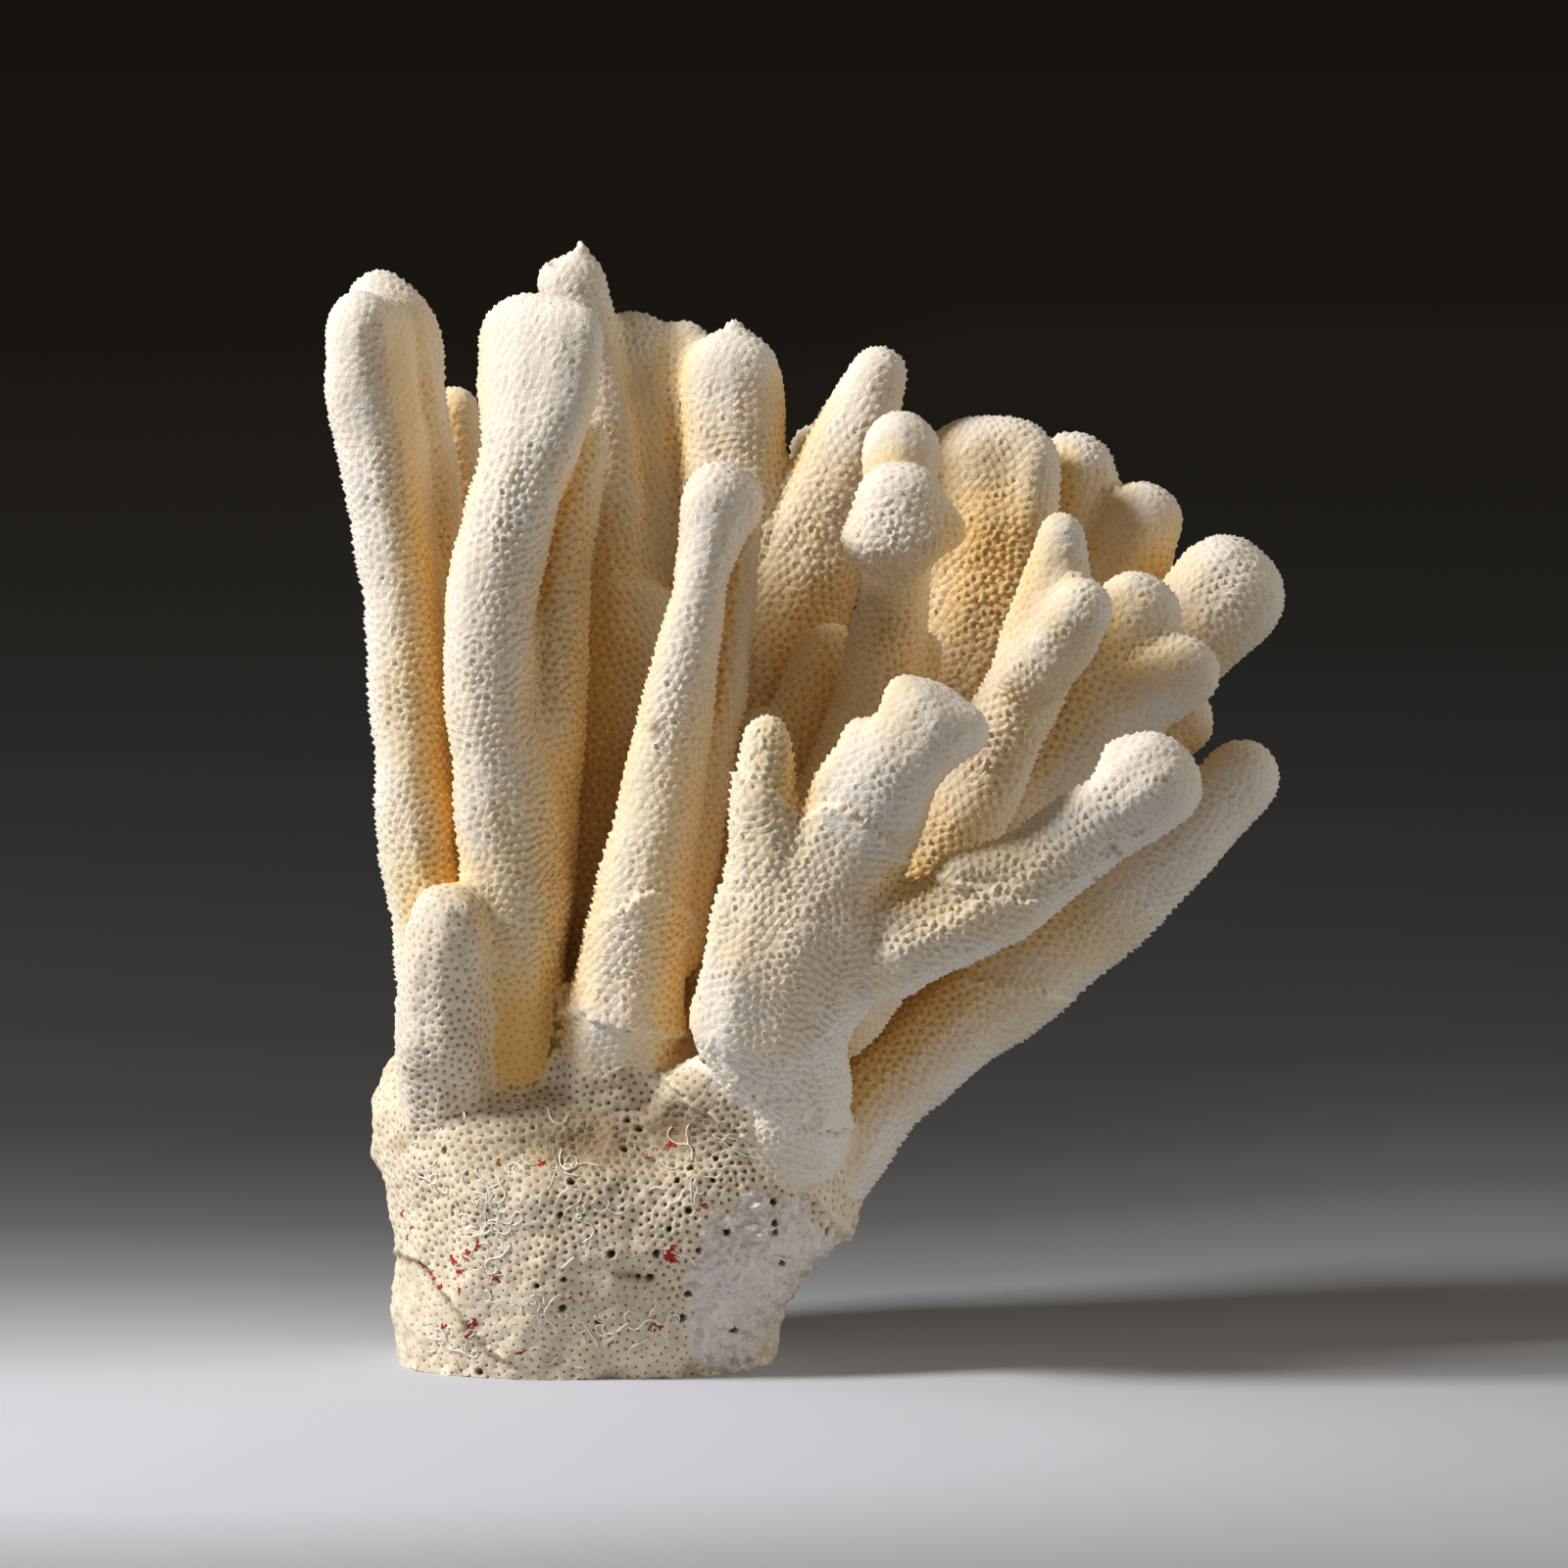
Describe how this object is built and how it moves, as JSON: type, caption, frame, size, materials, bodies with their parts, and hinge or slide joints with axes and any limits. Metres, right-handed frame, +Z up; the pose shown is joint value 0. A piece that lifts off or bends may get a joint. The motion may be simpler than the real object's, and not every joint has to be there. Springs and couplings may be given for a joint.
{
  "type": "cat's paw coral skeleton",
  "caption": "Bleached branching coral: a squat porous base cut flat underneath, and a leaning fan of blunt fingers and paddle-like blades with a granular surface.",
  "frame": {"origin": "middle of the base's flat cut face, on the surface that the coral stands on", "axes": "+Z up out of the cut face, +X the way that the fan of fingers leans, -Y out of the side that shows the hand-shaped branch"},
  "size_m": [0.1521, 0.0995, 0.1775],
  "materials": {
    "bleached_skeleton": "matt, granular, cream with whiter tips",
    "worn_base": "matt, porous, greyish cream with dark pits and small red specks"
  },
  "bodies": {
    "root": {"base": "worn_base", "trunk": "bleached_skeleton", "hand": "bleached_skeleton", "hand_arm": "bleached_skeleton", "left_stub": "bleached_skeleton", "left_finger": "bleached_skeleton", "second_finger": "bleached_skeleton", "front_finger": "bleached_skeleton", "spiked_blade": "bleached_skeleton", "middle_fork": "bleached_skeleton", "knobbed_finger": "bleached_skeleton", "middle_blade": "bleached_skeleton", "peaked_finger": "bleached_skeleton", "paddle": "bleached_skeleton", "low_arm": "bleached_skeleton", "shaded_arm": "bleached_skeleton", "broad_blade": "bleached_skeleton", "round_arm": "bleached_skeleton", "far_blade": "bleached_skeleton", "rear_left_finger": "bleached_skeleton", "rear_middle_blade": "bleached_skeleton", "rear_notch_finger": "bleached_skeleton", "rear_stub": "bleached_skeleton", "rear_right_fork": "bleached_skeleton", "rear_low_arm": "bleached_skeleton"}
  },
  "joints": []
}
